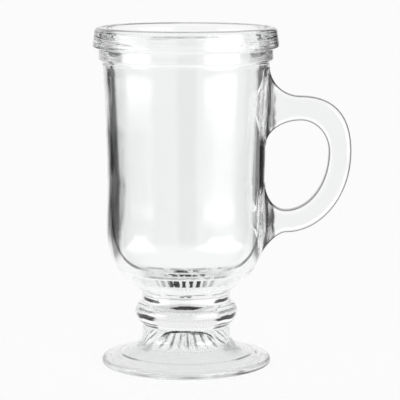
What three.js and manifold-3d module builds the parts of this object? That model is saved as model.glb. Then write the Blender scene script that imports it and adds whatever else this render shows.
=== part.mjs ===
// Irish coffee glass: a heavy pressed glass mug on a short knopped stem and a spreading foot.
// Millimetres, +Z up. It stands on z = 0, the handle points to +X, and the origin is
// the middle of the space that the glass and its handle take up on the table.
import * as THREE from 'three';
import { mergeVertices } from 'three/addons/utils/BufferGeometryUtils.js';
import Module from 'manifold-3d';

// Foot: a disc that spreads from the neck, standing on a narrow flat ring
const footRadius = 35.0;
const footEdgeRound = 1.7;
const footEdgeSlope = 1.7; // how far the top face climbs from the edge to the cove
const footCoveRadius = 27.6; // where the top face starts to curve up into the neck
const footNeckBase = 12.9;
const footHeight = 17.0;
const contactOuterRadius = 33.2;
const contactInnerRadius = 30.2;

// Hollow under the foot: a shallow dish that ends in a fluted dome
const dishRadius = 27.6;
const dishLip = 1.7;
const domeRadius = 14.6;
const domeBase = 10.0;
const domeTopRadius = 9.0;
const domeTop = 15.6;
const domeCrown = 0.4; // how far the dome's roof rises in its middle
const domeHollow = 0.2; // how far the dome's wall sags between base and top
const dishBulge = 0.4; // how far the dish's roof swells between dome and lip
const fluteCount = 36;
const fluteDepth = 1.9;
const fluteTopDepth = 1.3;

// Stem: a short neck with one round knop
const neckRadius = 18.3;
const stemHeight = 13.6;
const knopRadius = 21.2;
const knopSection = 5.2;
const knopCentre = 5.0; // above the stem's lower end

// Bowl, outside. Heights are above the bowl's lower end
const bellyArc = 28.8;
const shoulderRadius = 32.9;
const neckLand = 0.4;
const waistRadius = 32.45;
const waistHeight = 46.0;
const wallTopRadius = 33.8;
const wallDraft = 0.043; // growth of radius for each millimetre of height
const bowlHeight = 109.0;
const coveHeight = 8.0;
const collarRadius = 35.7;
const collarHeight = 4.4;
const bandRadius = 38.1;
const bandTopRadius = 37.4;
const bandHeight = 8.8;
const bandEdgeRound = 0.9;
const lipRise = 1.8;

// Bowl, inside: wall thickness at each height of the outside
const mouthWall = 4.3;
const collarWall = 5.7;
const wallTopWall = 4.4;
const waistWall = 4.9;
const shoulderWall = 5.0;
const floorThickness = 4.2;
const floorFullness = 0.75; // how flat the floor is and how tight its corner

// Handle: a flat loop with rounded edges. Heights are above the bowl's lower end
const handleReach = 67.8; // from the glass's axis
const handleThickness = 8.2;
const handleEdgeRound = 2.0;
const barTop = 80.8;
const barDepth = 10.0;
const gripDepth = 9.2;
const gripHeight = 57.7;
const lowerBarBottom = 24.5;
const lowerBarDepth = 9.2;
const upperBendStart = 47.0; // from the axis
const lowerBendEnd = 41.0; // from the axis
const upperRootTop = 93.1;
const upperRootBottom = 60.5;
const lowerRootTop = 45.5;
const lowerRootBottom = 16.2;
const rootFlare = 3.3;
const rootBite = 2.0;
const handleGap = 0.3; // between the handle's root and the bowl
const roundBend = 0.552; // a quarter bend's pull to its corner when it is nearly a circle
const fullBend = 0.66; // the pull where the loop's upper outer corner is fuller

// Facets
const aroundSteps = 60;
const curveSteps = 4;
const spanSteps = 6;
const cornerSteps = 2;
const faceSteps = 4;
const flutePoints = 4;

const wasm = await Module();
wasm.setup();

const bellyCentreRadius = shoulderRadius - bellyArc;
const shoulderHeight = neckLand + Math.sqrt(bellyArc ** 2 - (neckRadius - bellyCentreRadius) ** 2);
const bandBase = bowlHeight - bandHeight;
const collarBase = bandBase - collarHeight;
const wallTopHeight = collarBase - coveHeight;

function weld(geometry) {
  const bare = geometry.clone();
  bare.deleteAttribute('normal');
  bare.deleteAttribute('uv');
  const merged = mergeVertices(bare, 1e-4);
  const corners = merged.index.array;
  const kept = [];
  for (let i = 0; i < corners.length; i += 3) {
    const [a, b, c] = corners.slice(i, i + 3);
    if (a !== b && b !== c && c !== a) kept.push(a, b, c);
  }
  merged.setIndex(kept);
  return merged;
}

function toSolid(geometry) {
  const closed = weld(geometry);
  return new wasm.Manifold(new wasm.Mesh({
    numProp: 3,
    vertProperties: new Float32Array(closed.attributes.position.array),
    triVerts: new Uint32Array(closed.index.array),
  }));
}

function fromSolid(solid) {
  const mesh = solid.getMesh();
  const geometry = new THREE.BufferGeometry();
  geometry.setAttribute('position', new THREE.BufferAttribute(mesh.vertProperties, 3));
  geometry.setIndex(Array.from(mesh.triVerts));
  geometry.computeVertexNormals();
  return geometry;
}

// A solid of revolution about +Z. The profile runs from the axis, out and up, back to the axis.
function revolve(profile) {
  const lathe = new THREE.LatheGeometry(profile, aroundSteps);
  lathe.rotateX(Math.PI / 2);
  return fromSolid(toSolid(lathe));
}

// A closed skin over rings of points, each ring with as many points as the next.
// Each end is closed by a fan to the point given for it.
function loft(rings, firstCap, lastCap) {
  const points = [...rings.flat(), firstCap, lastCap];
  const size = rings[0].length;
  const index = [];
  for (let ring = 0; ring + 1 < rings.length; ring += 1) {
    for (let i = 0; i < size; i += 1) {
      const a = ring * size + i;
      const b = ring * size + ((i + 1) % size);
      index.push(a, b, b + size, a, b + size, a + size);
    }
  }
  const last = (rings.length - 1) * size;
  for (let i = 0; i < size; i += 1) {
    const next = (i + 1) % size;
    index.push(points.length - 2, next, i);
    index.push(points.length - 1, last + i, last + next);
  }
  const geometry = new THREE.BufferGeometry().setFromPoints(points);
  geometry.setIndex(index);
  return geometry;
}

// The bowl's outside, from the neck up to the lip's outer edge
function bowlOutside() {
  const path = new THREE.Path();
  const bellyStart = -Math.acos((neckRadius - bellyCentreRadius) / bellyArc);
  path.moveTo(neckRadius, 0);
  path.lineTo(neckRadius, neckLand);
  path.absarc(bellyCentreRadius, shoulderHeight, bellyArc, bellyStart, 0, false);
  const waistRun = (waistHeight - shoulderHeight) / 2;
  path.bezierCurveTo(shoulderRadius, shoulderHeight + waistRun, waistRadius, waistHeight - waistRun,
    waistRadius, waistHeight);
  const wallRun = (wallTopHeight - waistHeight) / 3;
  path.bezierCurveTo(waistRadius, waistHeight + wallRun, wallTopRadius - wallDraft * wallRun,
    wallTopHeight - wallRun, wallTopRadius, wallTopHeight);
  const coveRadius = (wallTopRadius + collarRadius) / 2;
  path.quadraticCurveTo(wallTopRadius + wallDraft * coveHeight, collarBase - bandEdgeRound,
    coveRadius, collarBase - bandEdgeRound / 2);
  path.lineTo(collarRadius, collarBase);
  path.lineTo(collarRadius, bandBase);
  path.lineTo(bandRadius - bandEdgeRound, bandBase + bandEdgeRound / 2);
  path.quadraticCurveTo(bandRadius, bandBase + bandEdgeRound / 2, bandRadius, bandBase + 2 * bandEdgeRound);
  path.lineTo(bandTopRadius, bowlHeight - lipRise);
  return path;
}

// The inside, from the lip's outer edge over the lip and down to the floor's centre
function bowlInside() {
  const path = new THREE.Path();
  const mouthRadius = bandTopRadius - mouthWall;
  const lipMiddle = bandTopRadius - mouthWall / 2;
  path.moveTo(bandTopRadius, bowlHeight - lipRise);
  path.bezierCurveTo(bandTopRadius, bowlHeight - lipRise / 3, lipMiddle + mouthWall / 4, bowlHeight,
    lipMiddle, bowlHeight);
  path.bezierCurveTo(lipMiddle - mouthWall / 4, bowlHeight, mouthRadius, bowlHeight - lipRise / 2,
    mouthRadius, bowlHeight - 2 * lipRise);
  const throatRadius = collarRadius - collarWall;
  path.bezierCurveTo(mouthRadius, bandBase + bandHeight / 4, throatRadius, bandBase,
    throatRadius, collarBase);
  const wallRun = (collarBase - wallTopHeight) / 2;
  path.bezierCurveTo(throatRadius, collarBase - wallRun, wallTopRadius - wallTopWall,
    wallTopHeight + wallRun, wallTopRadius - wallTopWall, wallTopHeight);
  path.lineTo(waistRadius - waistWall, waistHeight);
  const floorRadius = shoulderRadius - shoulderWall;
  path.lineTo(floorRadius, shoulderHeight);
  path.bezierCurveTo(floorRadius, shoulderHeight - floorFullness * (shoulderHeight - floorThickness),
    floorFullness * floorRadius, floorThickness, 0, floorThickness);
  return path;
}

const outsidePoints = bowlOutside().getPoints(curveSteps);

// The bowl's outer radius at a height above its lower end
function wallRadiusAt(height) {
  const above = outsidePoints.findIndex((point) => point.y > height);
  const low = outsidePoints[above - 1];
  const high = outsidePoints[above];
  return low.x + (high.x - low.x) * (height - low.y) / (high.y - low.y);
}

function bowlGeometry() {
  const inside = bowlInside().getPoints(curveSteps).slice(1);
  return revolve([new THREE.Vector2(0, 0), ...outsidePoints, ...inside]);
}

function stemGeometry() {
  const reach = Math.acos((neckRadius - knopRadius + knopSection) / knopSection);
  const path = new THREE.Path();
  path.moveTo(0, 0);
  path.lineTo(neckRadius, 0);
  path.absarc(knopRadius - knopSection, knopCentre, knopSection, -reach, reach, false);
  path.lineTo(neckRadius, stemHeight);
  path.lineTo(0, stemHeight);
  return revolve(path.getPoints(curveSteps));
}

// One ring of the fluted dome, its lobes pointing outward
function fluteRing(radius, depth, height) {
  const count = fluteCount * flutePoints;
  return Array.from({ length: count }, (unused, i) => {
    const angle = 2 * Math.PI * i / count;
    const r = radius + depth * Math.abs(Math.sin(angle * fluteCount / 2));
    return new THREE.Vector3(r * Math.cos(angle), r * Math.sin(angle), height);
  });
}

function flutedDome() {
  const slope = (domeRadius - domeTopRadius) / (domeTop - domeBase);
  const start = domeBase / 2; // the cut starts in the open dish
  const middleRadius = (domeRadius + domeTopRadius) / 2 - domeHollow;
  const middle = (domeBase + domeTop) / 2 - domeHollow;
  return loft([
    fluteRing(domeRadius + slope * (domeBase - start), fluteDepth, start),
    fluteRing(domeRadius, fluteDepth, domeBase),
    fluteRing(middleRadius, (fluteDepth + fluteTopDepth) / 2, middle),
    fluteRing(domeTopRadius, fluteTopDepth, domeTop),
  ], new THREE.Vector3(0, 0, start), new THREE.Vector3(0, 0, domeTop + domeCrown));
}

function footGeometry() {
  const edgeTop = 2 * footEdgeRound;
  const coveBase = edgeTop + footEdgeSlope;
  const path = new THREE.Path();
  path.moveTo(0, domeBase);
  path.lineTo(domeRadius + fluteDepth, domeBase);
  path.quadraticCurveTo((domeRadius + dishRadius) / 2 + dishBulge, (domeBase + dishLip) / 2 + dishBulge,
    dishRadius, dishLip);
  path.quadraticCurveTo((dishRadius + contactInnerRadius) / 2, 0, contactInnerRadius, 0);
  path.lineTo(contactOuterRadius, 0);
  path.quadraticCurveTo(footRadius, 0, footRadius, footEdgeRound);
  path.quadraticCurveTo(footRadius, edgeTop, footRadius - footEdgeRound, edgeTop);
  path.lineTo(footCoveRadius, coveBase);
  path.bezierCurveTo((footCoveRadius + neckRadius) / 2, coveBase + footEdgeSlope, neckRadius,
    footNeckBase - footNeckBase / 3, neckRadius, footNeckBase);
  path.lineTo(neckRadius, footHeight);
  path.lineTo(0, footHeight);
  const disc = toSolid(revolve(path.getPoints(curveSteps)));
  return fromSolid(disc.subtract(toSolid(flutedDome())));
}

// A quarter bend from one point to another, pulled towards the corner between them
function bend(from, corner, to, fullness) {
  return new THREE.CubicBezierCurve(from, from.clone().lerp(corner, fullness),
    to.clone().lerp(corner, fullness), to);
}

// The loop's outer and inner edges in the XZ plane, as four spans that run side by side
function handleSpans() {
  const at = (x, z) => new THREE.Vector2(x, z);
  const innerTop = barTop - barDepth;
  const innerReach = handleReach - gripDepth;
  const innerBottom = lowerBarBottom + lowerBarDepth;
  const rootTopRadius = wallRadiusAt(upperRootTop);
  const loopTopRadius = wallRadiusAt(upperRootBottom);
  const loopBottomRadius = wallRadiusAt(lowerRootTop);
  const webRadius = wallRadiusAt(lowerRootBottom);
  const webCorner = (webRadius + lowerBendEnd) / 2;
  const outer = [
    bend(at(rootTopRadius, upperRootTop), at(rootTopRadius, barTop), at(upperBendStart, barTop), roundBend),
    bend(at(upperBendStart, barTop), at(handleReach, barTop), at(handleReach, gripHeight), fullBend),
    bend(at(handleReach, gripHeight), at(handleReach, lowerBarBottom),
      at(lowerBendEnd, lowerBarBottom), roundBend),
    bend(at(lowerBendEnd, lowerBarBottom), at(webCorner, lowerBarBottom),
      at(webRadius, lowerRootBottom), roundBend),
  ];
  const inner = [
    bend(at(loopTopRadius, upperRootBottom), at(loopTopRadius, innerTop),
      at(upperBendStart, innerTop), roundBend),
    bend(at(upperBendStart, innerTop), at(innerReach, innerTop), at(innerReach, gripHeight), roundBend),
    bend(at(innerReach, gripHeight), at(innerReach, innerBottom), at(lowerBendEnd, innerBottom), roundBend),
    bend(at(lowerBendEnd, innerBottom), at(loopBottomRadius, innerBottom),
      at(loopBottomRadius, lowerRootTop), roundBend),
  ];
  return outer.map((edge, i) => [edge, inner[i]]);
}

// Extra half thickness where the handle swells into the bowl's wall
function flareAt(radius, z) {
  const away = Math.min(Math.max(radius - wallRadiusAt(z), 0), rootFlare);
  return rootFlare - Math.sqrt(rootFlare ** 2 - (rootFlare - away) ** 2);
}

// A rounded rectangle, as [place along the depth, side] points that run once around it
function roundedRectangle(depth) {
  const half = handleThickness / 2;
  const corners = [
    [depth - handleEdgeRound, handleEdgeRound - half, 0],
    [handleEdgeRound, handleEdgeRound - half, 1],
    [handleEdgeRound, half - handleEdgeRound, 2],
    [depth - handleEdgeRound, half - handleEdgeRound, 3],
  ];
  const ring = [];
  for (const [place, side, quarter] of corners) {
    for (let step = 0; step <= cornerSteps; step += 1) {
      const angle = (quarter + step / cornerSteps) * Math.PI / 2;
      ring.push([place + handleEdgeRound * Math.cos(angle), side - handleEdgeRound * Math.sin(angle)]);
    }
    if (quarter % 2 === 1) continue;
    const [fromPlace, y] = ring[ring.length - 1];
    const run = (depth - 2 * handleEdgeRound) * (quarter === 0 ? -1 : 1);
    for (let step = 1; step < faceSteps; step += 1) ring.push([fromPlace + run * step / faceSteps, y]);
  }
  return ring;
}

// The handle's section between a point on its outer edge and one on its inner edge
function handleSection(outer, inner) {
  const depth = outer.distanceTo(inner);
  const along = outer.clone().sub(inner).normalize();
  return roundedRectangle(depth).map(([place, side]) => {
    const point = inner.clone().addScaledVector(along, place);
    const fade = 1 - Math.abs(2 * place / depth - 1) ** 3;
    const flare = flareAt(Math.hypot(point.x, side), point.y) * fade;
    return new THREE.Vector3(point.x, side * (1 + 2 * flare / handleThickness), point.y);
  });
}

function handleGeometry() {
  const pairs = handleSpans().flatMap(([outer, inner], span) => {
    const first = span === 0 ? 0 : 1;
    const steps = Array.from({ length: spanSteps + 1 - first }, (unused, i) => (i + first) / spanSteps);
    return steps.map((t) => [outer.getPoint(t), inner.getPoint(t)]);
  });
  const bite = new THREE.Vector2(-rootBite, 0);
  const sunk = (pair) => pair.map((point) => point.clone().add(bite));
  const stations = [sunk(pairs[0]), ...pairs, sunk(pairs[pairs.length - 1])];
  const rings = stations.map(([outer, inner]) => handleSection(outer, inner));
  const middles = stations.map(([outer, inner]) => outer.clone().add(inner).divideScalar(2));
  const cap = (middle) => new THREE.Vector3(middle.x, 0, middle.y);
  const loop = loft(rings, cap(middles[0]), cap(middles[middles.length - 1]));
  const clear = outsidePoints.map((point) => new THREE.Vector2(point.x + handleGap, point.y));
  const top = new THREE.Vector2(0, bowlHeight);
  const wall = revolve([new THREE.Vector2(0, 0), ...clear, top]);
  return fromSolid(toSolid(loop).subtract(toSolid(wall)));
}

function glassMaterial(color) {
  return new THREE.MeshStandardMaterial({
    color, roughness: 0.04, metalness: 0, transparent: true, opacity: 0.4,
  });
}

function piece(name, geometry, color, height) {
  const mesh = new THREE.Mesh(geometry, glassMaterial(color));
  mesh.name = name;
  mesh.position.z = height;
  return mesh;
}

const bowlBase = footHeight + stemHeight;
const glass = new THREE.Group();
glass.add(piece('foot', footGeometry(), 0xe9eeee, 0));
glass.add(piece('stem', stemGeometry(), 0xe6ecec, footHeight));
glass.add(piece('bowl', bowlGeometry(), 0xeef2f2, bowlBase));
glass.add(piece('handle', handleGeometry(), 0xebf0f0, bowlBase));
glass.position.x = (bandRadius - handleReach) / 2;

export default glass;
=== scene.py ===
"""Irish coffee glass: a footed mug of clear pressed glass on a pale studio table.

The glass is one body of fused glass in four parts. Its outer line is drawn once, from the
foot's edge up to the lip and down the inside, and each part takes its own share of it, so
that the parts meet exactly. Lengths are in metres.
"""

import logging
import math
from dataclasses import dataclass, field
from enum import Enum
from functools import cached_property, reduce
from typing import ClassVar

import bmesh
import bpy
import numpy as np
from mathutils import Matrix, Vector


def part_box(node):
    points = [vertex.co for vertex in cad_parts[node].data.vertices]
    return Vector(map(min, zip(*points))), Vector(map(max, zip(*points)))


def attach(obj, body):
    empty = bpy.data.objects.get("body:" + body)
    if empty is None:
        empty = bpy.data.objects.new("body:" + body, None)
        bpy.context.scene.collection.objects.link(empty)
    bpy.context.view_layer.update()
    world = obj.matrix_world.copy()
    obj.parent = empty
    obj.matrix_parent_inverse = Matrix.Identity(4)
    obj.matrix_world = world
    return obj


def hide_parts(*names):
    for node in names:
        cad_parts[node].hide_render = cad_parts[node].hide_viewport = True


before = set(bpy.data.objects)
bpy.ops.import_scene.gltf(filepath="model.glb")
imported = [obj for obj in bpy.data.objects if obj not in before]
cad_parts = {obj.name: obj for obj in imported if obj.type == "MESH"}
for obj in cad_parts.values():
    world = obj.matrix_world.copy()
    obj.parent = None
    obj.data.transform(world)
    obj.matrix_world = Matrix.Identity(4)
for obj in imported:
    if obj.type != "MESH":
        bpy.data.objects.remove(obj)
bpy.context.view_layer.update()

Point = tuple[float, float]
Tones = tuple[Point, ...]
Levels = tuple[float, float, float, float]
Socket = bpy.types.NodeSocket

LOG = logging.getLogger("irish_coffee_glass")
MM = 0.001
TINY = 1e-9
WELD_REACH = 0.0005 * MM
BODY = "root"


class Part(Enum):
    """The four parts of the glass, by the name of the solid that each stands for."""

    FOOT = "foot"
    STEM = "stem"
    BOWL = "bowl"
    HANDLE = "handle"

    @property
    def piece(self) -> str:
        """Name of the piece that stands for the solid."""
        return f"{self.value}_glass"


class Skin(Enum):
    """Which material slot a face belongs to; the loop's is there only while it is fused on."""

    POLISHED = 0
    FUSED = 1
    LOOP = 2


class Work(Enum):
    """How one solid is worked with another."""

    JOIN = "UNION"
    CUT = "DIFFERENCE"


class Line:
    """A line in the (radius, height) half plane, made of straights, arcs and Bezier curves."""

    def __init__(self, radius: float, height: float) -> None:
        """Starts the line at a point.

        Args:
            radius: Distance from the glass's axis.
            height: Height above the table.
        """
        self.points = [np.array((radius, height))]

    def to(self, radius: float, height: float) -> "Line":
        """Adds a straight.

        Args:
            radius: Radius of its end.
            height: Height of its end.

        Returns:
            The line itself, so that calls can follow one another.
        """
        self.points.append(np.array((radius, height)))
        return self

    def curve(self, *controls: Point, steps: int = 48) -> "Line":
        """Adds a Bezier curve of any degree.

        Args:
            controls: The control points after the line's last point; the last is the end.
            steps: How many stretches the curve is cut into.

        Returns:
            The line itself.
        """
        nodes = np.array([self.points[-1], *controls])
        degree = len(nodes) - 1
        for step in range(1, steps + 1):
            t = step / steps
            weights = [math.comb(degree, i) * t**i * (1 - t) ** (degree - i)
                       for i in range(degree + 1)]
            self.points.append(np.array(weights) @ nodes)
        return self

    def arc(self, centre: Point, radius: float, start: float, end: float, steps: int = 64) -> "Line":
        """Adds an arc of a circle.

        Args:
            centre: The circle's centre.
            radius: The circle's radius.
            start: First angle, in radians from the outward direction.
            end: Last angle.
            steps: How many stretches the arc is cut into.

        Returns:
            The line itself.
        """
        for angle in np.linspace(start, end, steps + 1):
            direction = np.array((math.cos(angle), math.sin(angle)))
            self.points.append(np.array(centre) + radius * direction)
        return self


def evenly(points: np.ndarray, spacing: float) -> np.ndarray:
    """Spreads points evenly along a line.

    Args:
        points: The line's points, one row each.
        spacing: About how far apart the new points lie.

    Returns:
        The new points, with the same two ends.
    """
    run = np.concatenate([[0.0], np.cumsum(np.linalg.norm(np.diff(points, axis=0), axis=1))])
    count = max(2, round(run[-1] / spacing) + 1)
    at = np.linspace(0, run[-1], count)
    return np.stack([np.interp(at, run, points[:, i]) for i in range(points.shape[1])], axis=1)


def fire_polish(points: np.ndarray, spacing: float, reach: float) -> np.ndarray:
    """Rounds every corner of a line as the flame rounds hot glass.

    Args:
        points: The line's points.
        spacing: Spacing of the result.
        reach: Length along the line over which corners are rounded.

    Returns:
        The rounded line, with the same two ends.
    """
    even = evenly(points, spacing)
    half = max(1, round(reach / spacing))
    weights = np.cos(np.linspace(-math.pi / 2, math.pi / 2, 2 * half + 3)[1:-1]) ** 2
    weights /= weights.sum()
    before = 2 * even[0] - even[half:0:-1]
    after = 2 * even[-1] - even[-2:-half - 2:-1]
    padded = np.concatenate([before, even, after])
    soft = np.stack([np.convolve(padded[:, i], weights, mode="valid") for i in range(2)], axis=1)
    soft[0], soft[-1] = even[0], even[-1]
    return soft


def thin(points: np.ndarray, tolerance: float, longest: float) -> np.ndarray:
    """Drops the points that a line can spare.

    Args:
        points: The line's points.
        tolerance: How far a dropped point may lie from the line that is left.
        longest: The longest stretch that may be left without a point.

    Returns:
        The points that are kept.
    """
    keep = {0, len(points) - 1}
    spans = [(0, len(points) - 1)]
    while spans:
        first, last = spans.pop()
        if last - first < 2:
            continue
        chord = points[last] - points[first]
        length = float(np.linalg.norm(chord))
        offset = points[first + 1:last] - points[first]
        away = np.abs(chord[0] * offset[:, 1] - chord[1] * offset[:, 0]) / max(length, TINY)
        worst = int(away.argmax())
        if away[worst] <= tolerance and length <= longest:
            continue
        middle = first + 1 + (worst if away[worst] > tolerance else (last - first) // 2 - 1)
        keep.add(middle)
        spans += [(first, middle), (middle, last)]
    return points[sorted(keep)]


@dataclass(frozen=True)
class GlassLine:
    """The outline of the whole glass in its half plane, and the sizes that set it."""

    foot_radius: float = 35.0 * MM
    foot_edge_round: float = 1.7 * MM
    foot_edge_slope: float = 1.7 * MM
    foot_cove_radius: float = 27.6 * MM
    foot_neck_base: float = 12.9 * MM
    foot_height: float = 17.0 * MM
    contact_outer_radius: float = 33.2 * MM
    contact_inner_radius: float = 30.2 * MM

    dish_radius: float = 27.6 * MM
    dish_lip: float = 1.7 * MM
    dome_radius: float = 14.6 * MM
    dome_base: float = 10.0 * MM
    dome_top_radius: float = 9.0 * MM
    dome_top: float = 15.6 * MM
    dome_crown: float = 0.4 * MM
    dome_hollow: float = 0.4 * MM
    dish_bulge: float = 0.4 * MM

    neck_radius: float = 18.3 * MM
    stem_height: float = 13.6 * MM
    knop_radius: float = 21.2 * MM
    knop_section: float = 5.2 * MM
    knop_centre: float = 5.0 * MM

    belly_arc: float = 28.8 * MM
    shoulder_radius: float = 32.9 * MM
    neck_land: float = 0.4 * MM
    waist_radius: float = 32.45 * MM
    waist_height: float = 46.0 * MM
    wall_top_radius: float = 33.8 * MM
    wall_draft: float = 0.043
    bowl_height: float = 109.0 * MM
    cove_height: float = 8.0 * MM
    collar_radius: float = 35.7 * MM
    collar_height: float = 4.4 * MM
    band_radius: float = 38.1 * MM
    band_top_radius: float = 37.4 * MM
    band_height: float = 8.8 * MM
    band_edge_round: float = 0.9 * MM
    lip_rise: float = 1.8 * MM

    mouth_wall: float = 4.3 * MM
    collar_wall: float = 5.7 * MM
    wall_top_wall: float = 4.4 * MM
    waist_wall: float = 4.9 * MM
    shoulder_wall: float = 5.0 * MM
    floor_thickness: float = 4.2 * MM
    floor_fullness: float = 0.75

    spacing: float = 0.1 * MM
    polish: float = 0.7 * MM
    tolerance: float = 0.002 * MM
    longest: float = 3.0 * MM

    @property
    def bowl_base(self) -> float:
        """Height of the joint between stem and bowl."""
        return self.foot_height + self.stem_height

    @property
    def top(self) -> float:
        """Height of the lip."""
        return self.bowl_base + self.bowl_height

    @property
    def band_base(self) -> float:
        """Height of the band's lower edge."""
        return self.top - self.band_height

    @property
    def collar_base(self) -> float:
        """Height of the collar's lower edge."""
        return self.band_base - self.collar_height

    @property
    def wall_top(self) -> float:
        """Height at which the plain wall ends."""
        return self.collar_base - self.cove_height

    @property
    def waist(self) -> float:
        """Height of the wall's narrowest place."""
        return self.bowl_base + self.waist_height

    @property
    def belly_centre_radius(self) -> float:
        """Radius at which the belly's arc has its centre."""
        return self.shoulder_radius - self.belly_arc

    @property
    def shoulder(self) -> float:
        """Height at which the belly's arc runs into the wall."""
        run = self.neck_radius - self.belly_centre_radius
        return self.bowl_base + (self.neck_land + math.sqrt(self.belly_arc**2 - run**2))

    def outside(self) -> np.ndarray:
        """Draws the outer line.

        Returns:
            Points from the foot's contact ring, up the outside, over the lip and down to
            the middle of the bowl's floor.
        """
        line = self._foot_and_stem()
        self._belly_and_wall(line)
        self._collar_and_band(line)
        self._inside(line)
        return fire_polish(np.array(line.points), self.spacing, self.polish)

    def _foot_and_stem(self) -> Line:
        """Draws the foot's edge and top face, the neck and the knop.

        Returns:
            The line, from the middle of the contact ring to the bowl's lower end.
        """
        edge = self.foot_edge_round
        edge_top = 2 * edge
        cove_base = edge_top + self.foot_edge_slope
        line = Line((self.contact_inner_radius + self.contact_outer_radius) / 2, 0.0)
        line.to(self.contact_outer_radius, 0.0)
        line.curve((self.foot_radius, 0.0), (self.foot_radius, edge))
        line.curve((self.foot_radius, edge_top), (self.foot_radius - edge, edge_top))
        line.to(self.foot_cove_radius, cove_base)
        line.curve(((self.foot_cove_radius + self.neck_radius) / 2, cove_base + self.foot_edge_slope),
                   (self.neck_radius, self.foot_neck_base - self.foot_neck_base / 3),
                   (self.neck_radius, self.foot_neck_base))
        knop_middle = self.knop_radius - self.knop_section
        reach = math.acos((self.neck_radius - knop_middle) / self.knop_section)
        line.arc((knop_middle, self.foot_height + self.knop_centre), self.knop_section, -reach, reach)
        return line.to(self.neck_radius, self.bowl_base + self.neck_land)

    def _belly_and_wall(self, line: Line) -> None:
        """Draws the round belly and the wall, drawn in at its waist.

        Args:
            line: The line so far, at the bowl's lower end.
        """
        start = -math.acos((self.neck_radius - self.belly_centre_radius) / self.belly_arc)
        line.arc((self.belly_centre_radius, self.shoulder), self.belly_arc, start, 0.0)
        run = (self.waist - self.shoulder) / 2
        line.curve((self.shoulder_radius, self.shoulder + run), (self.waist_radius, self.waist - run),
                   (self.waist_radius, self.waist))
        run = (self.wall_top - self.waist) / 3
        line.curve((self.waist_radius, self.waist + run),
                   (self.wall_top_radius - self.wall_draft * run, self.wall_top - run),
                   (self.wall_top_radius, self.wall_top))

    def _collar_and_band(self, line: Line) -> None:
        """Draws the cove under the collar, the collar and the rim's broad band.

        Args:
            line: The line so far, at the top of the plain wall.
        """
        edge = self.band_edge_round
        cove_radius = self.wall_top_radius + self.wall_draft * self.cove_height
        line.curve((cove_radius, self.collar_base - edge),
                   ((self.wall_top_radius + self.collar_radius) / 2, self.collar_base - edge / 2))
        line.to(self.collar_radius, self.collar_base).to(self.collar_radius, self.band_base)
        line.to(self.band_radius - edge, self.band_base + edge / 2)
        line.curve((self.band_radius, self.band_base + edge / 2),
                   (self.band_radius, self.band_base + 2 * edge))
        line.to(self.band_top_radius, self.top - self.lip_rise)

    def _inside(self, line: Line) -> None:
        """Draws the lip and the bowl's inside.

        Args:
            line: The line so far, at the lip's outer edge.
        """
        mouth = self.band_top_radius - self.mouth_wall
        middle = self.band_top_radius - self.mouth_wall / 2
        quarter = self.mouth_wall / 4
        line.curve((self.band_top_radius, self.top - self.lip_rise / 3), (middle + quarter, self.top),
                   (middle, self.top))
        line.curve((middle - quarter, self.top), (mouth, self.top - self.lip_rise / 2),
                   (mouth, self.top - 2 * self.lip_rise))
        throat = self.collar_radius - self.collar_wall
        line.curve((mouth, self.band_base + self.band_height / 4), (throat, self.band_base),
                   (throat, self.collar_base))
        run = (self.collar_base - self.wall_top) / 2
        bore_top = self.wall_top_radius - self.wall_top_wall
        line.curve((throat, self.collar_base - run), (bore_top, self.wall_top + run),
                   (bore_top, self.wall_top))
        line.to(self.waist_radius - self.waist_wall, self.waist)
        floor_radius = self.shoulder_radius - self.shoulder_wall
        floor = self.bowl_base + self.floor_thickness
        line.to(floor_radius, self.shoulder)
        full = self.floor_fullness
        line.curve((floor_radius, self.shoulder - full * (self.shoulder - floor)),
                   (full * floor_radius, floor), (0.0, floor))

    def underside(self) -> np.ndarray:
        """Draws the foot's hollow.

        Returns:
            Points from the middle of the dome out to the contact ring.
        """
        crown = self.dome_top + self.dome_crown
        line = Line(0.0, crown)
        line.curve((self.dome_top_radius / 2, crown), (self.dome_top_radius, self.dome_top))
        line.curve(((self.dome_radius + self.dome_top_radius) / 2 - self.dome_hollow,
                    (self.dome_top + self.dome_base) / 2 - self.dome_hollow),
                   (self.dome_radius, self.dome_base))
        line.curve(((self.dome_radius + self.dish_radius) / 2 + self.dish_bulge,
                    (self.dome_base + self.dish_lip) / 2 + self.dish_bulge),
                   (self.dish_radius, self.dish_lip))
        line.curve(((self.dish_radius + self.contact_inner_radius) / 2, 0.0),
                   (self.contact_inner_radius, 0.0))
        line.to((self.contact_inner_radius + self.contact_outer_radius) / 2, 0.0)
        return fire_polish(np.array(line.points), self.spacing, self.polish / 2)

    def share(self, low: float, high: float) -> np.ndarray:
        """Cuts a part's share out of the outer line.

        Args:
            low: Height at which the share starts, on the outside.
            high: Height at which it ends, or infinity for the rest of the line.

        Returns:
            The thinned points of the share, with its ends exactly at those heights.
        """
        line = self.outside()
        rise = line[:int(line[:, 1].argmax())]
        start, first = (0, line[0]) if low <= 0 else self._crossing(rise, low)
        end, last = (len(line), line[-1]) if math.isinf(high) else self._crossing(rise, high)
        return thin(np.vstack([first, line[start + 1:end - 1], last]), self.tolerance, self.longest)

    @staticmethod
    def _crossing(rise: np.ndarray, height: float) -> tuple[int, np.ndarray]:
        """Finds where a line first reaches a height.

        Args:
            rise: The line, on its way up.
            height: The height.

        Returns:
            The number of the next point, and the place itself.
        """
        after = int(np.argmax(rise[:, 1] > height))
        a, b = rise[after - 1], rise[after]
        return after, a + (b - a) * (height - a[1]) / (b[1] - a[1])


def add_object(name: str, data: bpy.types.ID | None) -> bpy.types.Object:
    """Adds an object to the scene.

    Args:
        name: Its name.
        data: Its mesh, lamp or camera.

    Returns:
        The object.
    """
    made = bpy.data.objects.new(name, data)
    bpy.context.scene.collection.objects.link(made)
    return made


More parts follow.
